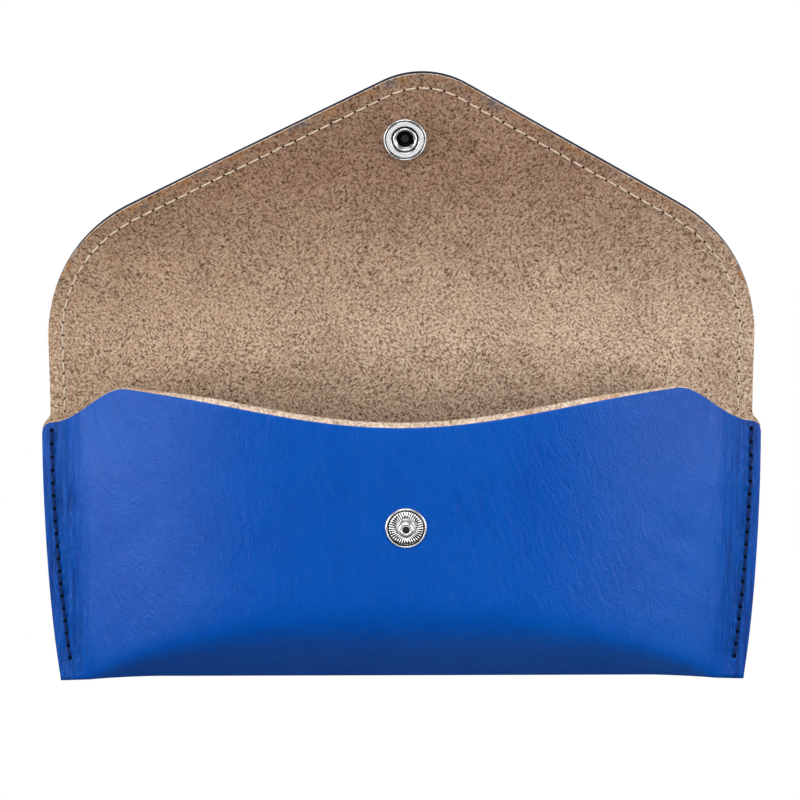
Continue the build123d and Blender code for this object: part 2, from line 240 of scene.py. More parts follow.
def flap_wave(x, y):
    """Slow unevenness of the open flap, nothing at the fold on the table."""
    past = ease((y - FOLD_2 + 8.0) / 30.0)
    slow = 0.9 * noise.noise(Vector((x * 0.02, y * 0.03, 40.0)))
    slow *= ease((hypot(x - STUD_X, y - SOCKET_Y) - 7.0) / 30.0)      # level under the socket
    curl = 0.9 * ease((abs(x) - 48.0) / 40.0)
    return past * (slow + curl)


def flat_face(x, y):
    """Outer face of the back, the bridge and the flap, as a point in space."""
    up, back = rise(y)
    return Vector((x, y - back, lift(x, y) + up + flap_wave(x, y)))


def flat_normal(x, y):
    return normal_of(flat_face, x, y)


def front_point(x, y):
    return Vector((x, y, front_face(x, y)))


def front_normal(x, y):
    return normal_of(front_point, x, y)


def nose(x, t):
    """Point and inward direction on the turn at the bottom fold; t is 0 at the back's end."""
    along = (front_face(x, NOSE_Y + STEP) - front_face(x, NOSE_Y - STEP)) / (2 * STEP)
    size = hypot(1.0, along)
    start, end = (NOSE_Y, lift(x, NOSE_Y)), (NOSE_Y, front_face(x, NOSE_Y))
    leave = (start[0] - NOSE_REACH, start[1])
    arrive = (end[0] - NOSE_REACH / size, end[1] - NOSE_REACH * along / size)
    corners = [start, leave, arrive, end]
    w = [(1 - t) ** 3, 3 * t * (1 - t) ** 2, 3 * t * t * (1 - t), t**3]
    d = [-(1 - t) ** 2, (1 - t) * (1 - 3 * t), t * (2 - 3 * t), t * t]
    y, z = (sum(w[k] * corners[k][a] for k in range(4)) for a in (0, 1))
    d_y, d_z = (sum(d[k] * corners[k][a] for k in range(4)) for a in (0, 1))
    thin = 1.0 - NOSE_THINNING / LEATHER * sin(pi * t)
    reach = thin / hypot(d_y, d_z)
    return Vector((x, y, z)), Vector((0.0, d_z * reach, -d_y * reach))


# ---- mesh helpers ------------------------------------------------------------------------------
def mesh_object(name, points, faces, slots, materials):
    """A smooth object from points in millimetres; slots gives the material of each face."""
    mesh = bpy.data.meshes.new(name)
    mesh.from_pydata([tuple(p * MM) for p in points], [], faces)
    mesh.validate()
    mesh.polygons.foreach_set("material_index", slots[: len(mesh.polygons)])
    mesh.polygons.foreach_set("use_smooth", [True] * len(mesh.polygons))
    obj = bpy.data.objects.new(name, mesh)
    bpy.context.scene.collection.objects.link(obj)
    for material in materials:
        mesh.materials.append(material)
    return obj


def face_outwards(obj, sharp):
    """Turns every face outwards, and marks edges over an angle in degrees as sharp."""
    work = bmesh.new()
    work.from_mesh(obj.data)
    bmesh.ops.recalc_face_normals(work, faces=work.faces)
    work.to_mesh(obj.data)
    work.free()
    obj.data.set_sharp_from_angle(angle=radians(sharp))


def tube_faces(first, rings, sides):
    """Faces round a stack of rings of points, the first point of which is numbered first."""
    faces = []
    for i in range(rings - 1):
        for j in range(sides):
            a, b = first + i * sides + j, first + i * sides + (j + 1) % sides
            faces.append((a, b, b + sides, a + sides))
    return faces


def open_cut(x):
    """The mouth's cut edge is turned up to view in the middle and lies closed at the sides."""
    return 0.15 + 0.85 * (1.0 - ease((abs(x) - 42.0) / 24.0))


def sheet_mesh(name, rows, lip=0.10, band=None, slant=0.0):
    """A leather sheet from a grid of (outer point, inward direction), closed along its edges.

    The edges are rounded over and dyed dark, all but the strip beside the flesh side. lip is how
    far the grain side stands out past the cut, band(point) marks the suede that is near the edge,
    and slant is how far the last row's cut leans out towards the flesh side, as at the mouth,
    where the whole cut is left raw.
    """
    high, wide = len(rows), len(rows[0])
    points, faces, slots = [], [], []
    for row in rows:
        points += [p for p, _ in row]
    for row in rows:
        points += [p + n * LEATHER for p, n in row]
    size = high * wide

    def quad(a, b, c, d, slot):
        faces.append((a, b, c, d))
        slots.append(slot)

    for i in range(high - 1):
        for j in range(wide - 1):
            a = i * wide + j
            quad(a, a + wide, a + wide + 1, a + 1, GRAIN_SIDE)
            b = a + size
            quad(b, b + 1, b + wide + 1, b + wide, FLESH_SIDE)
    border = [(i, 0) for i in range(high)] + [(high - 1, j) for j in range(1, wide)]
    border += [(i, wide - 1) for i in range(high - 2, -1, -1)]
    border += [(0, j) for j in range(wide - 2, 0, -1)]
    count = len(border)
    edge_frames = []
    for i, j in border:
        p, n = rows[i][j]
        if 0 < j < wide - 1:
            near = rows[1][j][0] if i == 0 else rows[high - 2][j][0]
        else:
            near = rows[i][1][0] if j == 0 else rows[i][wide - 2][0]
        side = p - near
        side = side - n * side.dot(n)
        side = side.normalized() if side.length > 1e-9 else side
        edge_frames.append((p, n, side))
        if i == high - 1 and slant:
            points[size + i * wide + j] += side * slant * open_cut(p.x)
    base = len(points)
    rings = [(0.16, lip), (0.42, max(lip, 0.14)), (0.84, 0.10)]     # share of the depth, and out
    for depth, out in rings:
        for (i, j), (p, n, s) in zip(border, edge_frames):
            lean = slant * depth * open_cut(p.x) if i == high - 1 else 0.0
            points.append(p + n * LEATHER * depth + s * (out + lean))
    for k in range(count):
        m = (k + 1) % count
        outer = [border[k][0] * wide + border[k][1], border[m][0] * wide + border[m][1]]
        strip = [(outer[0], outer[1])]
        strip += [(base + r * count + k, base + r * count + m) for r in range(len(rings))]
        strip.append((outer[0] + size, outer[1] + size))
        mouth = slant and border[k][0] == border[m][0] == high - 1
        for r, ((a, b), (c, d)) in enumerate(zip(strip, strip[1:])):
            quad(a, c, d, b, DYED if r < len(rings) and not mouth else CUT)
    obj = mesh_object(name, points, faces, slots, LEATHERS)
    if band:
        near = obj.data.attributes.new("edge_band", "FLOAT", "POINT")
        near.data.foreach_set("value", [band(p) for p in points])
    face_outwards(obj, 50)
    return obj


def spread(low, high, count, power=1.0):
    """count + 1 numbers from low to high, closer together near low where the power is over 1."""
    return [low + (high - low) * (i / count) ** power for i in range(count + 1)]


def columns(count=260):
    """Shares of the half-width from -1 to 1, closer together near both sides."""
    us = []
    for i in range(count + 1):
        t = 2.0 * i / count - 1.0
        us.append(0.55 * t + 0.45 * sin(pi / 2.0 * t))
    return us


# ---- materials ---------------------------------------------------------------------------------
def map_range(tree, value, low, high, at_low, at_high):
    node = tree.nodes.new("ShaderNodeMapRange")
    for key, number in zip(("From Min", "From Max", "To Min", "To Max"), (low, high, at_low, at_high)):
        node.inputs[key].default_value = number
    tree.links.new(value, node.inputs["Value"])
    return node.outputs["Result"]


def mix_shader(tree, factor, a, b):
    node = tree.nodes.new("ShaderNodeMixShader")
    for socket, value in zip(node.inputs, (factor, a, b)):
        tree.links.new(value, socket)
    return node.outputs[0]


class Nodes:
    """A new material with short calls for adding and linking shader nodes."""

    def __init__(self, name):
        self.material = bpy.data.materials.new(name)
        self.material.use_nodes = True
        self.tree = self.material.node_tree
        self.shader = self.tree.nodes["Principled BSDF"]
        coord = self.tree.nodes.new("ShaderNodeTexCoord")
        self.place = coord.outputs["Object"]

    def link(self, a, b):
        self.tree.links.new(a, b)

    def scaled(self, scale, rotation=(0, 0, 0)):
        node = self.tree.nodes.new("ShaderNodeMapping")
        node.vector_type = "TEXTURE"        # turned first and stretched second
        node.inputs["Scale"].default_value = tuple(1.0 / s for s in scale)
        node.inputs["Rotation"].default_value = rotation
        self.link(self.place, node.inputs["Vector"])
        return node.outputs["Vector"]

    def noise(self, vector, scale, detail=2.0, rough=0.5, distort=0.0):
        node = self.tree.nodes.new("ShaderNodeTexNoise")
        node.inputs["Scale"].default_value = scale
        node.inputs["Detail"].default_value = detail
        node.inputs["Roughness"].default_value = rough
        node.inputs["Distortion"].default_value = distort
        self.link(vector, node.inputs["Vector"])
        return node.outputs["Fac"]

    def along(self, axis):
        node = self.tree.nodes.new("ShaderNodeSeparateXYZ")
        self.link(self.place, node.inputs[0])
        return node.outputs[axis]

    def cells(self, vector, scale):
        node = self.tree.nodes.new("ShaderNodeTexVoronoi")
        node.inputs["Scale"].default_value = scale
        self.link(vector, node.inputs["Vector"])
        return node.outputs["Distance"]

    def ramp(self, value, stops):
        node = self.tree.nodes.new("ShaderNodeValToRGB")
        ramp = node.color_ramp
        while len(ramp.elements) < len(stops):
            ramp.elements.new(0.5)
        for element, (at, color) in zip(ramp.elements, stops):
            element.position = at
            element.color = (*color, 1.0)
        self.link(value, node.inputs["Fac"])
        return node.outputs["Color"]

    def grey(self, value, low, high, at_low=0.0, at_high=1.0):
        return map_range(self.tree, value, low, high, at_low, at_high)

    def put(self, value, socket):
        """Sets a socket to a number or a colour, or links it to another node's output."""
        if isinstance(value, (int, float)):
            socket.default_value = value
        elif isinstance(value, tuple):
            socket.default_value = (*value, 1.0)
        else:
            self.link(value, socket)

    def math(self, kind, a, b):
        node = self.tree.nodes.new("ShaderNodeMath")
        node.operation = kind
        self.put(a, node.inputs[0])
        self.put(b, node.inputs[1])
        return node.outputs["Value"]

    def mix(self, kind, factor, a, b):
        node = self.tree.nodes.new("ShaderNodeMix")
        node.data_type = "RGBA"
        node.blend_type = kind
        for key, value in (("Factor_Float", factor), ("A_Color", a), ("B_Color", b)):
            self.put(value, next(s for s in node.inputs if s.identifier == key))
        return next(s for s in node.outputs if s.identifier == "Result_Color")

    def bump(self, height, distance, strength=1.0, below=None):
        node = self.tree.nodes.new("ShaderNodeBump")
        node.inputs["Distance"].default_value = distance
        node.inputs["Strength"].default_value = strength
        self.link(height, node.inputs["Height"])
        if below is not None:
            self.link(below, node.inputs["Normal"])
        return node.outputs["Normal"]

    def done(self, **sockets):
        for key, value in sockets.items():
            self.put(value, self.shader.inputs[key.replace("_", " ")])
        return self.material


def blue_leather():
    """Smooth blue grain side: fine pores, small creases, and pressed streaks beside the seams; painted shade
    darkens the creases and streaks.
    """
    m = Nodes("blue_leather")
    grain = m.cells(m.place, 2400.0)
    fine = m.noise(m.place, 5200.0, 3.0, 0.6)
    creases = m.noise(m.scaled((1.0, 0.35, 1.0), (0, 0, 0.3)), 420.0, 5.0, 0.62, 1.2)
    streaks = m.noise(m.scaled((1.0, 0.07, 0.3)), 900.0, 4.0, 0.7, 0.6)
    beside = m.grey(m.math("ABSOLUTE", m.along("X"), 0.0), 0.0765, 0.0815)
    cloud = m.noise(m.place, 22.0, 4.0, 0.55)
    spots = m.noise(m.place, 140.0, 4.0, 0.6)
    color = m.ramp(cloud, [(0.3, (0.0002, 0.064, 0.362)), (0.7, (0.0004, 0.080, 0.410))])
    color = m.mix("MULTIPLY", 0.35, color, m.ramp(spots, [(0.35, (0.74, 0.78, 0.84)), (0.62, (1, 1, 1))]))
    # Painted shade: the colour is darker in the small creases.
    color = m.mix("MULTIPLY", 0.5, color, m.ramp(creases, [(0.3, (0.7, 0.74, 0.8)), (0.46, (1, 1, 1))]))
    # Painted shade in the wrinkle streaks beside the seams; their relief is in the bumps below.
    pressed = m.ramp(streaks, [(0.40, (0.30, 0.38, 0.5)), (0.47, (1, 1, 1))])
    color = m.mix("MULTIPLY", m.math("MULTIPLY", beside, 0.6), color, pressed)
    rough = m.math("ADD", m.grey(fine, 0.3, 0.7, -0.04, 0.05), m.grey(cloud, 0.3, 0.7, 0.30, 0.37))
    low = m.bump(creases, 0.00055, 0.5)
    low = m.bump(m.math("MULTIPLY", streaks, beside), 0.0016, 0.9, low)
    mid = m.bump(grain, 0.00010, 0.6, low)
    top = m.bump(fine, 0.00004, 0.6, mid)
    return m.done(Base_Color=color, Roughness=rough, Normal=top, Specular_IOR_Level=0.20)


def suede():
    """Tan flesh side: short matted fibres that lie in patches, with dark pits between them."""
    m = Nodes("suede_flesh_side")
    lie_a = m.noise(m.scaled((1.0, 0.45, 1.0), (0, 0, 0.75)), 2500.0, 3.0, 0.80)
    lie_b = m.noise(m.scaled((1.0, 0.45, 1.0), (0, 0, -0.85)), 2500.0, 3.0, 0.80)
    patch = m.grey(m.noise(m.place, 170.0), 0.42, 0.58)
    fibre = m.mix("MIX", patch, lie_a, lie_b)
    pits = m.noise(m.place, 1350.0, 5.0, 0.82)
    clumps = m.noise(m.scaled((1.0, 0.7, 1.0), (0, 0, 0.5)), 480.0, 8.0, 0.78, 0.5)
    torn = m.grey(m.noise(m.place, 62.0, 3.0, 0.55), 0.42, 0.60)
    rubbed = m.noise(m.place, 90.0, 4.0, 0.6)
    cloud = m.noise(m.place, 34.0, 5.0, 0.62)
    color = m.ramp(fibre, [
        (0.40, (0.17, 0.085, 0.045)), (0.455, (0.61, 0.41, 0.28)), (0.52, (0.96, 0.67, 0.48)),
        (0.58, (1.0, 0.87, 0.68)),
    ])
    color = m.mix("MULTIPLY", 0.9, color, m.ramp(pits, [(0.38, (0.24, 0.14, 0.09)), (0.455, (1, 1, 1))]))
    shade = m.ramp(clumps, [(0.39, (0.36, 0.28, 0.21)), (0.455, (1, 1, 1))])
    color = m.mix("MULTIPLY", m.math("ADD", m.math("MULTIPLY", torn, 0.06), 0.33), color, shade)
    color = m.mix("MULTIPLY", 0.2, color, m.ramp(rubbed, [(0.35, (0.78, 0.74, 0.70)), (0.55, (1, 1, 1))]))
    color = m.mix("MULTIPLY", 0.15, color, m.ramp(cloud, [(0.32, (0.76, 0.71, 0.65)), (0.62, (1, 1, 1))]))
    # Painted shade: the suede darkens towards the flap's tip, where the curled flap turns away from the key
    # light.
    painted_tip_shade = m.ramp(m.grey(m.along("Y"), 0.052, 0.112), [
        (0.0, (1, 1, 1)), (0.40, (0.71, 0.655, 0.615)), (0.66, (0.59, 0.50, 0.455)),
        (1.0, (0.57, 0.49, 0.45)),
    ])
    color = m.mix("MULTIPLY", 1.0, color, painted_tip_shade)
    aside = m.ramp(m.grey(m.along("X"), -0.080, 0.02), [(0.0, (0.88, 0.84, 0.79)), (1.0, (1, 1, 1))])
    color = m.mix("MULTIPLY", 1.0, color, aside)
    edge = m.tree.nodes.new("ShaderNodeAttribute")
    edge.attribute_name = "edge_band"
    stain = m.grey(m.noise(m.place, 260.0, 4.0, 0.7), 0.49, 0.58)
    darker = m.grey(m.noise(m.place, 180.0), 0.52, 0.62)
    dyed = m.mix("MIX", darker, (0.62, 0.30, 0.12), (0.16, 0.17, 0.20))
    stained = m.mix("MULTIPLY", 0.75, dyed, m.ramp(fibre, [(0.38, (0.4, 0.4, 0.4)), (0.6, (1, 1, 1))]))
    share = m.math("MULTIPLY", m.math("MULTIPLY", edge.outputs["Fac"], stain), 0.7)
    color = m.mix("MIX", share, color, stained)
    height = m.math("ADD", m.math("MULTIPLY", pits, 0.8), fibre)
    relief = m.math("MULTIPLY", clumps, m.math("ADD", m.math("MULTIPLY", torn, 0.25), 0.42))
    normal = m.bump(height, 0.0010, 0.8, m.bump(relief, 0.0026, 0.9))
    return m.done(
        Base_Color=color, Roughness=0.95, Normal=normal, Specular_IOR_Level=0.08,
        Sheen_Weight=0.08, Sheen_Roughness=0.6, Sheen_Tint=(0.9, 0.78, 0.66),
    )


def cut_edge():
    """Raw cut through the hide: pale fibre with patches of tan."""
    m = Nodes("cut_edge")
    fibre = m.noise(m.scaled((1.0, 1.0, 0.4)), 1500.0, 5.0, 0.7, 0.8)
    patch = m.noise(m.place, 120.0, 3.0, 0.6)
    color = m.ramp(fibre, [
        (0.36, (0.26, 0.16, 0.10)), (0.48, (0.66, 0.50, 0.38)), (0.62, (0.88, 0.74, 0.60)),
    ])
    color = m.mix("MIX", m.grey(patch, 0.56, 0.66, 0.0, 0.6), color, (0.50, 0.26, 0.12))
    return m.done(Base_Color=color, Roughness=0.95, Normal=m.bump(fibre, 0.0006, 0.9), Specular_IOR_Level=0.1)


def thread(name, dark, light, sheen=0.3):
    """Twisted thread, mottled between two colours."""
    m = Nodes(name)
    twist = m.noise(m.place, 3800.0, 3.0, 0.6, 0.4)
    color = m.ramp(twist, [(0.35, dark), (0.65, light)])
    return m.done(
        Base_Color=color, Roughness=0.7, Normal=m.bump(twist, 0.00012, 0.8), Specular_IOR_Level=0.2,
        Sheen_Weight=sheen, Sheen_Roughness=0.5,
    )


def metal(name, color, rough):
    """Plated metal that is a little rubbed."""
    m = Nodes(name)
    wear = m.noise(m.place, 900.0, 4.0, 0.6)
    fine = m.noise(m.scaled((1, 1, 6)), 5000.0)
    tint = m.mix("MULTIPLY", 0.25, color, m.ramp(wear, [(0.3, (0.8, 0.8, 0.8)), (0.6, (1, 1, 1))]))
    return m.done(
        Base_Color=tint, Metallic=1.0, Roughness=m.grey(wear, 0.3, 0.7, rough, rough + 0.06),
        Normal=m.bump(fine, 0.00001, 0.3),
    )


# Near black: painted shade down in the needle holes.
def hole_shade():
    m = Nodes("needle_hole_shade")
    color = m.ramp(m.noise(m.place, 2000.0), [(0.3, (0.001, 0.002, 0.006)), (0.7, (0.002, 0.005, 0.016))])
    return m.done(Base_Color=color, Roughness=0.9, Specular_IOR_Level=0.05)


def floor_white():
    """A sweep that the camera sees as plain white and that the glossy leather hardly mirrors."""
    m = Nodes("studio_floor")
    color = m.ramp(m.noise(m.place, 3.0), [(0.3, (0.68, 0.68, 0.68)), (0.7, (0.70, 0.70, 0.70))])
    m.done(Base_Color=color, Roughness=0.9, Specular_IOR_Level=0.0)
    white = m.tree.nodes.new("ShaderNodeEmission")
    dim = m.tree.nodes.new("ShaderNodeEmission")
    dim.inputs["Strength"].default_value = 0.03
    path = m.tree.nodes.new("ShaderNodeLightPath")
    mirrored = mix_shader(m.tree, path.outputs["Is Glossy Ray"], m.shader.outputs[0], dim.outputs[0])
    seen = mix_shader(m.tree, path.outputs["Is Camera Ray"], mirrored, white.outputs[0])
    m.link(seen, m.tree.nodes["Material Output"].inputs["Surface"])
    return m.material


def studio_world():
    """Light from all round, dim overhead and beyond the pouch; the camera sees plain white."""
    world = bpy.data.worlds.new("studio_world")
    world.use_nodes = True
    tree = world.node_tree
    coord = tree.nodes.new("ShaderNodeTexCoord")
    split = tree.nodes.new("ShaderNodeSeparateXYZ")
    tree.links.new(coord.outputs["Generated"], split.inputs[0])
    both = tree.nodes.new("ShaderNodeMath")
    both.operation = "MULTIPLY"
    tree.links.new(map_range(tree, split.outputs["Z"], 0.35, 0.92, 0.36, 0.015), both.inputs[0])
    tree.links.new(map_range(tree, split.outputs["Y"], -0.75, 0.15, 0.04, 1.0), both.inputs[1])
    shaded, plain = tree.nodes["Background"], tree.nodes.new("ShaderNodeBackground")
    for background in (shaded, plain):
        background.inputs["Color"].default_value = (1, 1, 1, 1)
    tree.links.new(both.outputs["Value"], shaded.inputs["Strength"])
    path = tree.nodes.new("ShaderNodeLightPath")
    seen = mix_shader(tree, path.outputs["Is Camera Ray"], shaded.outputs[0], plain.outputs[0])
    tree.links.new(seen, tree.nodes["World Output"].inputs["Surface"])
    bpy.context.scene.world = world


BLUE, SUEDE, RAW = blue_leather(), suede(), cut_edge()
PAINT = thread("edge_dye", (0.004, 0.008, 0.022), (0.010, 0.022, 0.06), 0.0)
LEATHERS = [BLUE, SUEDE, RAW, PAINT]
GRAIN_SIDE, FLESH_SIDE, CUT, DYED = range(4)        # places in that list
THREAD_BLUE = thread("thread_blue", (0.001, 0.008, 0.045), (0.002, 0.026, 0.15), 0.0)
THREAD_NATURAL = thread("thread_natural", (0.42, 0.32, 0.22), (0.74, 0.62, 0.48))
NICKEL = metal("polished_nickel", (0.82, 0.82, 0.83), 0.24)
NICKEL_DARK = metal("shadowed_nickel", (0.035, 0.033, 0.03), 0.28)
WIRE = metal("spring_wire", (0.6, 0.6, 0.6), 0.25)
HOLE = hole_shade()


# ---- leather pieces ----------------------------------------------------------------------------
def cross_back_fold(piece):
    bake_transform(piece)


def cross_front_fold(piece):
    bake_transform(piece)


def front_leather():
    """The front, the turn at the bottom fold and a strip of the underside."""
    us = columns()
    rows = []
    for y in spread(BACK_JOIN, NOSE_Y, 8):
        xs = [u * half_width(y) for u in us]
        rows.append([(flat_face(x, y), flat_normal(x, y)) for x in xs])
    turn_rows = 8
    for k in range(1, turn_rows + 1):
        w = half_width(NOSE_Y)
        rows.append([nose(u * w, k / (turn_rows + 1)) for u in us])
    for share in spread(0.0, 1.0, 120, 1.1):
        row = []
        for u in us:
            y = NOSE_Y + (mouth_y(u * HALF_WIDTH) - NOSE_Y) * share
            x = u * half_width(min(y, SEAM_TOP - TOP_MARGIN))
            row.append((front_point(x, y), -front_normal(x, y)))
        rows.append(row)
    obj = sheet_mesh("front_leather", rows, slant=MOUTH_SLANT)
    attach(obj, "pouch")
    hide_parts("front_panel")
    return obj


def back_leather():
    """The back, and the bridge to its middle."""
    us = columns()
    rows = []
    for y in spread(BACK_JOIN, BRIDGE_JOIN, 110):
        row = []
        for u in us:
            w = half_width(y) if y < SEAM_TOP + 4.0 else EDGE.half_at(y, u)
            row.append((flat_face(u * w, y), flat_normal(u * w, y)))
        rows.append(row)
    obj = sheet_mesh("back_leather", rows)
    cross_back_fold(obj)
    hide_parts("back_panel", "flap_bridge")
    return obj


def near_flap_edge(p):
    """1 at the flap's edge, falling to 0 over a narrow band inside it."""
    y = p.y + rise(p.y)[1]
    slant = hypot(1.0, EDGE.ml) if abs(p.x) < 60.0 else 1.5
    return 1.0 - ease(((EDGE.top(p.x) - y) / slant - 1.2) / 1.2)


def flap_leather():
    """The bridge from its middle, and the pointed flap."""
    count = 320
    rows = []
    for from_join in spread(0.0, 1.0, 110):
        share = 1.0 - (1.0 - from_join) ** 1.3
        row = []
        for j in range(count + 1):
            u = 0.1 * (2.0 * j / count - 1.0) - 0.9 * cos(pi * j / count)
            x = EDGE.half_at(BRIDGE_JOIN + 1.0, u) * u
            top = max(EDGE.top(x), BRIDGE_JOIN + 0.9)
            y = BRIDGE_JOIN + (top - BRIDGE_JOIN) * share
            row.append((flat_face(x, y), flat_normal(x, y)))
        rows.append(row)
    obj = sheet_mesh("flap_leather", rows, FLAP_LIP, near_flap_edge)
    cross_front_fold(obj)
    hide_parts("flap_panel")
    return obj


def leather():
    front, back, flap = front_leather(), back_leather(), flap_leather()


# ---- stitching ---------------------------------------------------------------------------------
class Stitches:
    """Many stitches and needle holes gathered into one mesh."""

    def __init__(self):
        self.points, self.faces, self.slots = [], [], []

    def stitch(self, middle, along, normal, length, width, seed, rings=9, sides=8):
        """A short twisted length of thread that comes out of one hole and dives into the next."""
        across = along.cross(normal)
        wobble = noise.noise(Vector((seed * 1.7, 0.3, 2.2)))
        first = len(self.points)
        for i in range(rings):
            t = i / (rings - 1) * 2.0 - 1.0
            arch = 1.0 - abs(t) ** 3.0
            centre = middle + along * (t * length / 2) + normal * width * (0.62 * arch - 0.32)
            centre += across * (width * 0.35 * wobble * t)
            fat = width / 2 * (0.55 + 0.45 * sqrt(max(0.0, 1.0 - t**6)))
            for j in range(sides):
                a = 2 * pi * j / sides
                ply = 1.0 + 0.14 * cos(2 * a + 1.4 * i)
                self.points.append(centre + (across * cos(a) + normal * sin(a)) * fat * ply)
        self.close(first, rings, sides, 0)

    def hole(self, middle, along, normal, radius, sides=10):
        """A shallow dimple round a needle hole, coloured near black as painted shade of the hole."""
        across = along.cross(normal)
        first = len(self.points)
        for scale, up in ((1.0, -0.12), (0.9, 0.035), (0.4, 0.045)):
            for j in range(sides):
                a = 2 * pi * j / sides
                edge = along * (cos(a) * radius * 1.15) + across * (sin(a) * radius)
                self.points.append(middle + edge * scale + normal * up)
        self.close(first, 3, sides, 1)

    def close(self, first, rings, sides, slot):
        """Faces round the rings just added and over both ends."""
        faces = tube_faces(first, rings, sides)
        faces.append(tuple(first + j for j in reversed(range(sides))))
        faces.append(tuple(first + (rings - 1) * sides + j for j in range(sides)))
        self.faces += faces
        self.slots += [slot] * len(faces)

    def build(self, name, material):
        return mesh_object(name, self.points, self.faces, self.slots, [material, HOLE])


def walk(path, pitch):
    """Points half a pitch apart along a line in plan, the pitch rounded to fit its length."""
    marks, gone = [0.0], 0.0
    for (x0, y0), (x1, y1) in zip(path, path[1:]):
        gone += hypot(x1 - x0, y1 - y0)
        marks.append(gone)
    count = round(gone / pitch)
    found, k = [], 0
    for i in range(2 * count + 1):
        want = gone * i / (2 * count)
        while k < len(marks) - 2 and marks[k + 1] < want:
            k += 1
        t = (want - marks[k]) / max(1e-9, marks[k + 1] - marks[k])
        (x0, y0), (x1, y1) = path[k], path[k + 1]
        found.append((x0 + (x1 - x0) * t, y0 + (y1 - y0) * t))
    return found


def run_of_stitches(found, place, width, hole, name, material, keep=None, tilt=0.0):
    """Stitches at every odd point of the walk and holes at every even one."""
    made = Stitches()
    for i, (x, y) in enumerate(found):
        if keep and not keep(y):
            continue
        ahead = found[min(i + 1, len(found) - 1)]
        behind = found[max(i - 1, 0)]
        point, normal = place(x, y)
        along = place(*ahead)[0] - place(*behind)[0]
        along = (along - normal * along.dot(normal)).normalized()
        if i % 2:
            across = along.cross(normal)
            slant = tilt + 0.09 * noise.noise(Vector((i * 0.73, 4.1, 0.0)))
            along = (along + across * slant).normalized()
            length = STITCH_PITCH * (0.86 + 0.06 * noise.noise(Vector((i * 0.91, 7.7, 0.0))))
            made.stitch(point, along, normal, length, width, i)
        else:
            made.hole(point, along, normal, hole)
    return made.build(name, material)


def seam_walk(sign):
    """A side seam from the mouth down, drawn a little towards the edge."""
    first, last = SEAM_TOP - TOP_MARGIN, POUCH_BOTTOM + BOTTOM_MARGIN
    path = []
    for y in spread(first, last, 120):
        inset = SEAM_INSET - 0.6 * ease((y + 30.0) / 50.0)
        path.append((sign * (half_width(min(y, first)) - inset), y))
    return walk(path, STITCH_PITCH)


def on_front(x, y):
    return front_point(x, y), front_normal(x, y)


def on_outside(x, y):
    """Outer face of the back and flap; where the leather lies flat the thread is pressed in."""
    n = flat_normal(x, y)
    pressed = THREAD_SINK * (1.0 - ease((y - FOLD_2) / 8.0)) * ease((y - SEAM_TOP + 6.0) / 6.0)
    return flat_face(x, y) + n * pressed, -n


def on_inside(x, y):
    n = flat_normal(x, y)
    return flat_face(x, y) + n * LEATHER, n


def seam_stitches():
    faces = (
        ("stitches", "needle_thread", on_front, SEAM_THREAD, SEAM_HOLE, 0.16),
        ("back_stitches", "bobbin_thread", on_outside, SEAM_THREAD_BACK, SEAM_HOLE_BACK, 0.06),
    )
    for side, sign in (("left", -1), ("right", 1)):
        found = seam_walk(sign)
        for piece, thread_node, place, width, hole, tilt in faces:
            name = f"{side}_seam_{piece}"
            obj = run_of_stitches(found, place, width, hole, name, THREAD_BLUE, tilt=tilt * sign)
            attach(obj, "pouch")
            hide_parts(f"{side}_seam_{thread_node}")


def edge_stitches():
    """Stitching round the flap, in two pieces split half-way across the bridge."""
    path = FlapEdge(EDGE_INSET).path(SEAM_TOP + 2.0)
    found = walk(path, STITCH_PITCH)
    regions = (
        ("rear", lambda y: y <= BRIDGE_JOIN, cross_back_fold),
        ("point", lambda y: y > BRIDGE_JOIN, cross_front_fold),
    )
    replaced = {
        ("rear", "inside"): ("edge_bobbin_thread_root", "edge_bobbin_thread_bridge"),
        ("point", "inside"): ("edge_bobbin_thread_flap",),
        ("rear", "outside"): ("edge_needle_thread_bridge",),
        ("point", "outside"): ("edge_needle_thread_flap",),
    }
    faces = (
        ("inside", on_inside, THREAD_NATURAL, "thread_natural"),
        ("outside", on_outside, THREAD_BLUE, "thread_blue"),
    )
    for region, keep, cross_fold in regions:
        for face, place, material, slot in faces:
            name = f"edge_stitches_{region}_{face}"
            obj = run_of_stitches(found, place, EDGE_THREAD, EDGE_HOLE, name, material, keep)
            cross_fold(obj)
            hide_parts(*replaced[(region, face)])


# ---- press stud --------------------------------------------------------------------------------
def lathe(name, profile, sides, slot_of, flutes=None):
    """A turned nickel piece about its own Z from (radius, height) points.

    slot_of(k, j) is 1 where the face j of row k is shadowed, and flutes(k, a) is how far row k
    is raised at the angle a.
    """
    points, slots = [], []
    for k, (r, z) in enumerate(profile):
        for j in range(sides):
            a = 2 * pi * j / sides
            extra = flutes(k, a) if flutes else 0.0
            points.append(Vector((r * cos(a), r * sin(a), z + extra)))
    faces = tube_faces(0, len(profile), sides)
    for k in range(len(profile) - 1):
        slots += [slot_of(k, j) for j in range(sides)]
    for k, order in ((0, -1), (len(profile) - 1, 1)):
        ring = [k * sides + j for j in range(sides)]
        faces.append(tuple(ring[::order]))
        slots.append(slot_of(min(k, len(profile) - 2), 0))
    obj = mesh_object(name, points, faces, slots, [NICKEL, NICKEL_DARK])
    face_outwards(obj, 62)
    return obj


def rounded(points, radius, steps=3):
    """Rounds every inner corner of a lathe profile."""
    out = [points[0]]
    for a, b, c in zip(points, points[1:], points[2:]):
        ab, cb = Vector(a) - Vector(b), Vector(c) - Vector(b)
        cut = min(radius, 0.45 * ab.length, 0.45 * cb.length)
        p, q = Vector(b) + ab.normalized() * cut, Vector(b) + cb.normalized() * cut
        for i in range(steps + 1):
            t = i / steps
            out.append(tuple(p * (1 - t) ** 2 + Vector(b) * 2 * t * (1 - t) + q * t * t))
    out.append(points[-1])
    return out


def stud_place():
    """Middle of the stud's underside."""
    low, high = (Vector(c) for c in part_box("snap_stud"))
    middle = (low + high) / 2
    return Vector((middle.x, middle.y, low.z))


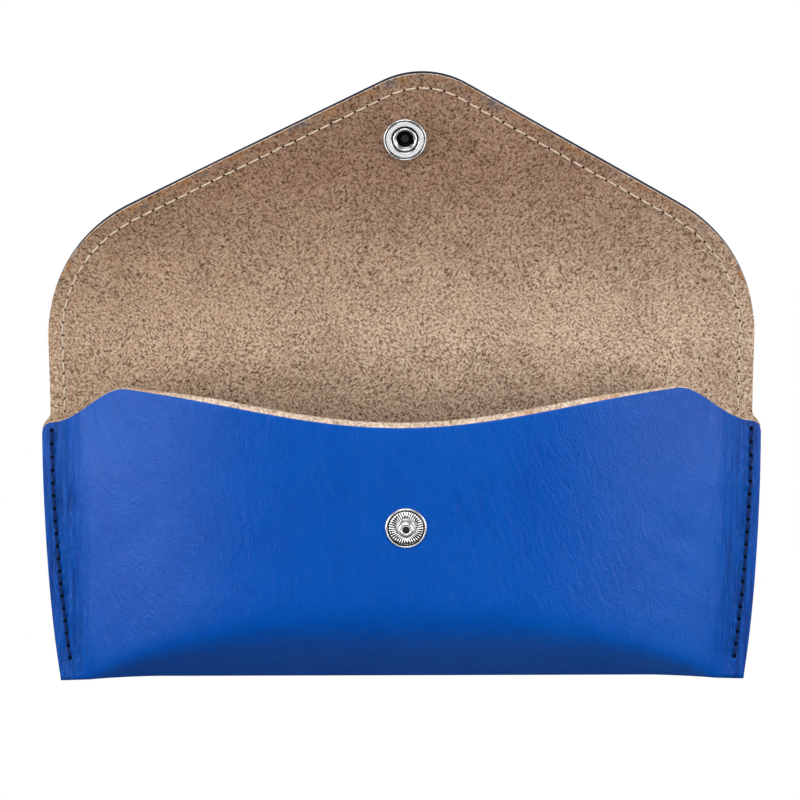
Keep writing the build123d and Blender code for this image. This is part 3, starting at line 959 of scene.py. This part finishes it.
def snap_stud():
    """A rim, a dish whose floor is fluted like a coin's edge, and a hollow knob."""
    count, depth = 38, 0.085        # of the flutes
    profile = rounded([
        (1.2, 0.0), (4.95, 0.0), (5.02, 0.12), (5.0, 0.36), (4.82, 0.56), (4.55, 0.58), (4.42, 0.3),
        (4.22, 0.12), (4.12, 0.3),
    ], 0.08)
    band_start = len(profile)
    profile += [(4.05 - 1.65 * i / 6, 0.40 + 0.10 * sin(pi * i / 6)) for i in range(7)]
    band_end = len(profile)
    profile += rounded([
        (2.3, 0.32), (1.75, 0.34), (1.6, 0.5), (1.6, 0.95), (1.83, 1.25), (1.76, 1.62), (1.45, 1.8),
        (1.17, 1.74), (0.92, 1.62), (0.86, 1.2),
    ], 0.1)

    def flutes(k, a):
        if not band_start <= k < band_end:
            return 0.0
        return depth * cos(count * a) * sin(pi * (k - band_start + 0.5) / (band_end - band_start))

    def slot_of(k, j):
        r, z = profile[k]
        valley = band_start <= k < band_end - 1 and j % 8 in (2, 3, 4, 5)
        groove = z < 0.5 and (4.15 < r < 4.5 or 1.7 < r < 2.2)
        hollow = k > len(profile) - 9 and r < 0.95
        return 1 if valley or groove or hollow else 0

    obj = lathe("stud", profile, count * 8, slot_of, flutes)
    obj.data.transform(Matrix.Translation(stud_place()))
    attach(obj, "pouch")
    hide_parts("snap_stud")
    return obj


def flap_place():
    """Matrix of the flap's plane at the press stud, level with the leather's inner face."""
    stud = stud_place()
    along = FOLD_1 - stud.y / MM
    seat = Vector((stud.x, (FOLD_2 + along * cos(FLAP_RISE)) * MM, (LEATHER + along * sin(FLAP_RISE)) * MM))
    return Matrix.Translation(seat) @ Matrix.Rotation(FLAP_RISE, 4, "X")


def snap_socket():
    """A rolled rim, a flat ring, a raised lip round the mouth, and the cavity that takes the knob."""
    profile = rounded([
        (1.6, 0.02), (4.9, 0.02), (5.15, 0.2), (5.17, 1.2), (5.12, 1.58), (4.96, 1.78), (4.78, 1.76),
        (4.68, 1.3), (4.54, 1.3), (4.44, 1.6), (3.3, 1.58), (3.12, 1.2), (2.92, 1.2), (2.8, 1.64),
        (2.5, 1.68), (2.28, 1.52), (2.2, 1.2), (2.6, 1.0), (3.2, 0.9), (3.2, 0.24), (1.6, 0.24),
    ], 0.12)

    def slot_of(k, j):
        r, z = profile[k]
        groove = k > 6 and z < 1.45 and (4.5 < r < 4.75 or 2.85 < r < 3.2)
        cavity = k > len(profile) - 16
        return 1 if groove or cavity else 0

    obj = lathe("socket", profile, 128, slot_of)
    obj.data.transform(flap_place())
    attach(obj, "flap")
    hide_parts("snap_socket")
    return obj


def carried_nodes():
    """CAD nodes whose shape is right keep it and get a finished material."""
    metals = []
    for name, material in (("snap_stud_post", NICKEL), ("snap_cap", NICKEL), ("snap_spring", WIRE)):
        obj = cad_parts[name]
        obj.data.materials.clear()
        obj.data.materials.append(material)
        if name == "snap_cap":      # the rolled end of its post is down in the socket
            obj.data.materials.append(NICKEL_DARK)
            inner = flap_place().inverted() @ obj.matrix_world
            for face in obj.data.polygons:
                face.material_index = 1 if (inner @ face.center).z > 0 else 0
        else:
            metals.append(obj)
    return metals


# ---- studio ------------------------------------------------------------------------------------
def area_light(name, place, target, size, power, size_y=None):
    data = bpy.data.lights.new(name, "AREA")
    data.energy, data.size = power, size
    if size_y:
        data.shape, data.size_y = "RECTANGLE", size_y
    obj = bpy.data.objects.new(name, data)
    bpy.context.scene.collection.objects.link(obj)
    obj.location = place
    obj.rotation_euler = (Vector(target) - Vector(place)).to_track_quat("-Z", "Y").to_euler()
    return obj


def studio(metals):
    """Floor and lights; one card lights only the press stud, which would otherwise be black."""
    floor = bpy.data.meshes.new("floor")
    corners = [(x * 3.0, y * 3.0, 0) for x, y in ((-1, -1), (1, -1), (1, 1), (-1, 1))]
    floor.from_pydata(corners, [], [(0, 1, 2, 3)])
    obj = bpy.data.objects.new("floor", floor)
    obj.location.z = -0.0002
    bpy.context.scene.collection.objects.link(obj)
    floor.materials.append(floor_white())
    studio_world()
    target = (0, 0.03, 0.01)
    area_light("key", (-0.12, 1.05, 1.1), target, 1.1, 16.8)
    area_light("left", (-0.9, 0.0, 0.55), target, 0.6, 9.0, size_y=1.0)
    area_light("right", (0.9, 0.05, 0.55), target, 0.6, 8.2, size_y=1.0)
    card = area_light("card_for_metal", (0.0, -0.34, 0.87), target, 0.5, 0.85)
    lit = bpy.data.collections.new("metal_pieces")
    for obj in metals:
        lit.objects.link(obj)
    card.light_linking.receiver_collection = lit


def camera():
    """Looks down from beyond the flap, 15 degrees from straight down."""
    tilt, distance, roll = radians(15.0), 0.680, radians(-0.16)
    data = bpy.data.cameras.new("camera")
    data.sensor_width, data.lens = 36.0, 126.4
    obj = bpy.data.objects.new("camera", data)
    target = Vector((-0.00035, 0.0359, 0.010))
    back = Vector((0.0, sin(tilt), cos(tilt)))
    obj.location = target + back * distance
    up = Vector((0, 1, 0))
    up = (up - back * up.dot(back)).normalized()
    right = up.cross(back)
    right, up = right * cos(roll) + up * sin(roll), up * cos(roll) - right * sin(roll)
    obj.matrix_world = Matrix((
        (right.x, up.x, back.x, obj.location.x), (right.y, up.y, back.y, obj.location.y),
        (right.z, up.z, back.z, obj.location.z), (0, 0, 0, 1),
    ))
    bpy.context.scene.collection.objects.link(obj)
    bpy.context.scene.camera = obj


# ---- the whole scene ---------------------------------------------------------------------------
bpy.context.scene.view_settings.view_transform = "Standard"
leather()
seam_stitches()
edge_stitches()
studio([snap_stud(), snap_socket()] + carried_nodes())
camera()
